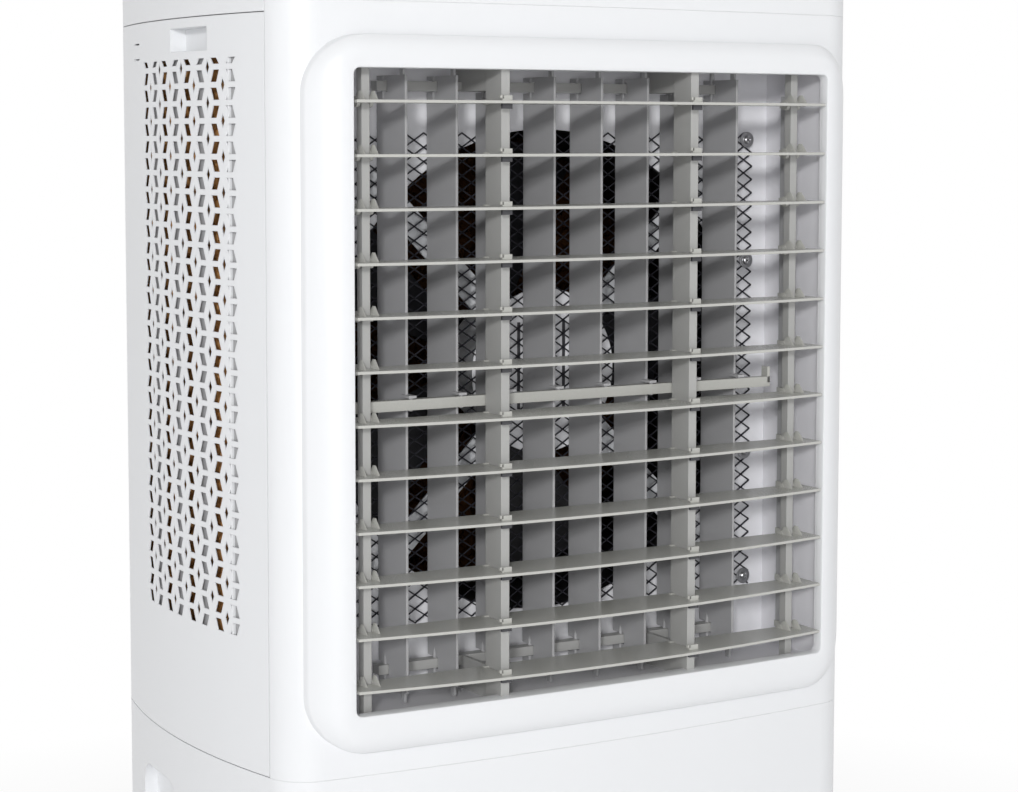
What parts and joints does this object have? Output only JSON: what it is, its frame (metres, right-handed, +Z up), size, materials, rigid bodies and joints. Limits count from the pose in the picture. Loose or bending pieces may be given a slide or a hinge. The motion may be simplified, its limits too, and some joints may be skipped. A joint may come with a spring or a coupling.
{
  "type": "evaporative air cooler",
  "caption": "Upright portable evaporative air cooler with a large louvred outlet, upright vanes behind it, perforated side panels, a water tank and swivel casters.",
  "frame": {"origin": "on the floor, under the centre of the bounding box", "axes": "+Z up, -Y out of the air outlet, +X to the right seen from the front"},
  "size_m": [0.688, 0.449, 1.139],
  "materials": {
    "white_plastic": "satin",
    "louvre_grey": "satin",
    "vane_grey": "satin",
    "duct_white": "matte",
    "black_mesh": "satin",
    "galvanised": "satin",
    "motor_shell": "satin",
    "fan_black": "satin",
    "pad_cellulose": "matte",
    "dark_plastic": "matte",
    "screw_steel": "satin",
    "wheel_rubber": "matte",
    "brass_inlet": "satin"
  },
  "bodies": {
    "housing": {"water_tank": "white_plastic", "inlet_valve": "brass_inlet", "front_shell": "white_plastic", "outlet_bezel": "white_plastic", "rear_shell": "white_plastic", "top_cover": "white_plastic", "control_panel": "dark_plastic", "air_duct": "duct_white", "louvre_frame": "vane_grey", "swing_motor": "dark_plastic", "fan_guard": "black_mesh", "guard_screws": "screw_steel", "fan_panel": "duct_white", "motor_bracket": "galvanised", "fan_motor": "motor_shell", "rear_pad": "pad_cellulose", "water_distributor": "duct_white", "pump": "dark_plastic"},
    "caster_1": {"caster_fork_1": "galvanised"},
    "wheel_1": {"caster_wheel_1": "wheel_rubber"},
    "caster_2": {"caster_fork_2": "galvanised"},
    "wheel_2": {"caster_wheel_2": "wheel_rubber"},
    "caster_3": {"caster_fork_3": "galvanised"},
    "wheel_3": {"caster_wheel_3": "wheel_rubber"},
    "caster_4": {"caster_fork_4": "galvanised"},
    "wheel_4": {"caster_wheel_4": "wheel_rubber"},
    "drain": {"drain_cap": "dark_plastic"},
    "float": {"float_arm": "dark_plastic"},
    "left_side": {"left_panel": "white_plastic", "left_pad": "pad_cellulose"},
    "right_side": {"right_panel": "white_plastic", "right_pad": "pad_cellulose"},
    "key_1": {"button_1": "white_plastic"},
    "key_2": {"button_2": "white_plastic"},
    "key_3": {"button_3": "white_plastic"},
    "key_4": {"button_4": "white_plastic"},
    "lid": {"fill_door": "white_plastic"},
    "fan": {"fan_impeller": "fan_black"},
    "blade_01": {"louvre_01": "louvre_grey"},
    "blade_02": {"louvre_02": "louvre_grey"},
    "blade_03": {"louvre_03": "louvre_grey"},
    "blade_04": {"louvre_04": "louvre_grey"},
    "blade_05": {"louvre_05": "louvre_grey"},
    "blade_06": {"louvre_06": "louvre_grey"},
    "blade_07": {"louvre_07": "louvre_grey"},
    "blade_08": {"louvre_08": "louvre_grey"},
    "blade_09": {"louvre_09": "louvre_grey"},
    "blade_10": {"louvre_10": "louvre_grey"},
    "blade_11": {"louvre_11": "louvre_grey"},
    "blade_12": {"louvre_12": "louvre_grey"},
    "louvre_bar": {"louvre_link": "vane_grey"},
    "fin_1": {"vane_1": "vane_grey"},
    "fin_2": {"vane_2": "vane_grey"},
    "fin_3": {"vane_3": "vane_grey"},
    "fin_4": {"vane_4": "vane_grey"},
    "fin_5": {"vane_5": "vane_grey"},
    "fin_6": {"vane_6": "vane_grey"},
    "fin_7": {"vane_7": "vane_grey"},
    "fin_8": {"vane_8": "vane_grey"},
    "vane_bar": {"vane_link": "louvre_grey"}
  },
  "joints": [
    {"name": "caster_swivel_1", "type": "hinge", "parent": "housing", "child": "caster_1", "pos_m": [-0.205, -0.1185, 0.07], "axis": [0, 0, 1], "continuous": true},
    {"name": "wheel_spin_1", "type": "hinge", "parent": "caster_1", "child": "wheel_1", "pos_m": [-0.205, -0.1005, 0.025], "axis": [1, 0, 0], "continuous": true},
    {"name": "caster_swivel_2", "type": "hinge", "parent": "housing", "child": "caster_2", "pos_m": [0.205, -0.1185, 0.07], "axis": [0, 0, 1], "continuous": true},
    {"name": "wheel_spin_2", "type": "hinge", "parent": "caster_2", "child": "wheel_2", "pos_m": [0.205, -0.1005, 0.025], "axis": [1, 0, 0], "continuous": true},
    {"name": "caster_swivel_3", "type": "hinge", "parent": "housing", "child": "caster_3", "pos_m": [-0.205, 0.1615, 0.07], "axis": [0, 0, 1], "continuous": true},
    {"name": "wheel_spin_3", "type": "hinge", "parent": "caster_3", "child": "wheel_3", "pos_m": [-0.205, 0.1795, 0.025], "axis": [1, 0, 0], "continuous": true},
    {"name": "caster_swivel_4", "type": "hinge", "parent": "housing", "child": "caster_4", "pos_m": [0.205, 0.1615, 0.07], "axis": [0, 0, 1], "continuous": true},
    {"name": "wheel_spin_4", "type": "hinge", "parent": "caster_4", "child": "wheel_4", "pos_m": [0.205, 0.1795, 0.025], "axis": [1, 0, 0], "continuous": true},
    {"name": "drain_turn", "type": "hinge", "parent": "housing", "child": "drain", "pos_m": [-0.12, 0.1985, 0.106], "axis": [0, 1, 0], "range_deg": [0, 90]},
    {"name": "float_swing", "type": "hinge", "parent": "housing", "child": "float", "pos_m": [0.18, 0.154, 0.3], "axis": [1, 0, 0], "range_deg": [-3, 25]},
    {"name": "left_panel_tilt", "type": "hinge", "parent": "housing", "child": "left_side", "pos_m": [-0.344, 0, 0.3408], "axis": [0, -1, 0], "range_deg": [0, 20]},
    {"name": "right_panel_tilt", "type": "hinge", "parent": "housing", "child": "right_side", "pos_m": [0.344, 0, 0.3408], "axis": [0, 1, 0], "range_deg": [0, 20]},
    {"name": "button_press_1", "type": "slide", "parent": "housing", "child": "key_1", "axis": [0, 0, -1], "range_m": [0, 0.0015], "stiffness_N_per_m": 300},
    {"name": "button_press_2", "type": "slide", "parent": "housing", "child": "key_2", "axis": [0, 0, -1], "range_m": [0, 0.0015], "stiffness_N_per_m": 300},
    {"name": "button_press_3", "type": "slide", "parent": "housing", "child": "key_3", "axis": [0, 0, -1], "range_m": [0, 0.0015], "stiffness_N_per_m": 300},
    {"name": "button_press_4", "type": "slide", "parent": "housing", "child": "key_4", "axis": [0, 0, -1], "range_m": [0, 0.0015], "stiffness_N_per_m": 300},
    {"name": "lid_hinge", "type": "hinge", "parent": "housing", "child": "lid", "pos_m": [0, 0.1914, 1.1345], "axis": [-1, 0, 0], "range_deg": [0, 100]},
    {"name": "fan_spin", "type": "hinge", "parent": "housing", "child": "fan", "pos_m": [0, 0.0015, 0.694], "axis": [0, 1, 0], "continuous": true},
    {"name": "louvre_tilt_01", "type": "hinge", "parent": "housing", "child": "blade_01", "pos_m": [0, -0.1745, 0.9568], "axis": [1, 0, 0], "range_deg": [-30, 25]},
    {"name": "louvre_tilt_02", "type": "hinge", "parent": "housing", "child": "blade_02", "pos_m": [0, -0.1745, 0.9083], "axis": [1, 0, 0], "range_deg": [-30, 25]},
    {"name": "louvre_tilt_03", "type": "hinge", "parent": "housing", "child": "blade_03", "pos_m": [0, -0.1745, 0.8598], "axis": [1, 0, 0], "range_deg": [-30, 25]},
    {"name": "louvre_tilt_04", "type": "hinge", "parent": "housing", "child": "blade_04", "pos_m": [0, -0.1745, 0.8113], "axis": [1, 0, 0], "range_deg": [-30, 25]},
    {"name": "louvre_tilt_05", "type": "hinge", "parent": "housing", "child": "blade_05", "pos_m": [0, -0.1745, 0.7628], "axis": [1, 0, 0], "range_deg": [-30, 25]},
    {"name": "louvre_tilt_06", "type": "hinge", "parent": "housing", "child": "blade_06", "pos_m": [0, -0.1745, 0.7143], "axis": [1, 0, 0], "range_deg": [-30, 25]},
    {"name": "louvre_tilt_07", "type": "hinge", "parent": "housing", "child": "blade_07", "pos_m": [0, -0.1745, 0.6658], "axis": [1, 0, 0], "range_deg": [-30, 25]},
    {"name": "louvre_tilt_08", "type": "hinge", "parent": "housing", "child": "blade_08", "pos_m": [0, -0.1745, 0.6173], "axis": [1, 0, 0], "range_deg": [-30, 25]},
    {"name": "louvre_tilt_09", "type": "hinge", "parent": "housing", "child": "blade_09", "pos_m": [0, -0.1745, 0.5688], "axis": [1, 0, 0], "range_deg": [-30, 25]},
    {"name": "louvre_tilt_10", "type": "hinge", "parent": "housing", "child": "blade_10", "pos_m": [0, -0.1745, 0.5203], "axis": [1, 0, 0], "range_deg": [-30, 25]},
    {"name": "louvre_tilt_11", "type": "hinge", "parent": "housing", "child": "blade_11", "pos_m": [0, -0.1745, 0.4718], "axis": [1, 0, 0], "range_deg": [-30, 25]},
    {"name": "louvre_tilt_12", "type": "hinge", "parent": "housing", "child": "blade_12", "pos_m": [0, -0.1745, 0.4233], "axis": [1, 0, 0], "range_deg": [-30, 25]},
    {"name": "louvre_bar_slide", "type": "slide", "parent": "housing", "child": "louvre_bar", "axis": [0, 0, 1], "range_m": [-0.0125, 0.0105]},
    {"name": "vane_swing_1", "type": "hinge", "parent": "housing", "child": "fin_1", "pos_m": [-0.18795, -0.1135, 0.678], "axis": [0, 0, 1], "range_deg": [-25, 25]},
    {"name": "vane_swing_2", "type": "hinge", "parent": "housing", "child": "fin_2", "pos_m": [-0.13425, -0.1135, 0.678], "axis": [0, 0, 1], "range_deg": [-25, 25]},
    {"name": "vane_swing_3", "type": "hinge", "parent": "housing", "child": "fin_3", "pos_m": [-0.08055, -0.1135, 0.678], "axis": [0, 0, 1], "range_deg": [-25, 25]},
    {"name": "vane_swing_4", "type": "hinge", "parent": "housing", "child": "fin_4", "pos_m": [-0.02685, -0.1135, 0.678], "axis": [0, 0, 1], "range_deg": [-25, 25]},
    {"name": "vane_swing_5", "type": "hinge", "parent": "housing", "child": "fin_5", "pos_m": [0.02685, -0.1135, 0.678], "axis": [0, 0, 1], "range_deg": [-25, 25]},
    {"name": "vane_swing_6", "type": "hinge", "parent": "housing", "child": "fin_6", "pos_m": [0.08055, -0.1135, 0.678], "axis": [0, 0, 1], "range_deg": [-25, 25]},
    {"name": "vane_swing_7", "type": "hinge", "parent": "housing", "child": "fin_7", "pos_m": [0.13425, -0.1135, 0.678], "axis": [0, 0, 1], "range_deg": [-25, 25]},
    {"name": "vane_swing_8", "type": "hinge", "parent": "housing", "child": "fin_8", "pos_m": [0.18795, -0.1135, 0.678], "axis": [0, 0, 1], "range_deg": [-25, 25]},
    {"name": "vane_bar_slide", "type": "slide", "parent": "housing", "child": "vane_bar", "axis": [1, 0, 0], "range_m": [-0.0215, 0.0215]}
  ],
  "couplings": [
    {"joint": "louvre_tilt_02", "follows": "louvre_tilt_01", "ratio": 1},
    {"joint": "louvre_tilt_03", "follows": "louvre_tilt_01", "ratio": 1},
    {"joint": "louvre_tilt_04", "follows": "louvre_tilt_01", "ratio": 1},
    {"joint": "louvre_tilt_05", "follows": "louvre_tilt_01", "ratio": 1},
    {"joint": "louvre_tilt_06", "follows": "louvre_tilt_01", "ratio": 1},
    {"joint": "louvre_tilt_07", "follows": "louvre_tilt_01", "ratio": 1},
    {"joint": "louvre_tilt_08", "follows": "louvre_tilt_01", "ratio": 1},
    {"joint": "louvre_tilt_09", "follows": "louvre_tilt_01", "ratio": 1},
    {"joint": "louvre_tilt_10", "follows": "louvre_tilt_01", "ratio": 1},
    {"joint": "louvre_tilt_11", "follows": "louvre_tilt_01", "ratio": 1},
    {"joint": "louvre_tilt_12", "follows": "louvre_tilt_01", "ratio": 1},
    {"joint": "louvre_bar_slide", "follows": "louvre_tilt_01", "m_per_rad": 0.022918},
    {"joint": "vane_swing_2", "follows": "vane_swing_1", "ratio": 1},
    {"joint": "vane_swing_3", "follows": "vane_swing_1", "ratio": 1},
    {"joint": "vane_swing_4", "follows": "vane_swing_1", "ratio": 1},
    {"joint": "vane_swing_5", "follows": "vane_swing_1", "ratio": 1},
    {"joint": "vane_swing_6", "follows": "vane_swing_1", "ratio": 1},
    {"joint": "vane_swing_7", "follows": "vane_swing_1", "ratio": 1},
    {"joint": "vane_swing_8", "follows": "vane_swing_1", "ratio": 1},
    {"joint": "vane_bar_slide", "follows": "vane_swing_1", "m_per_rad": 0.048913}
  ]
}
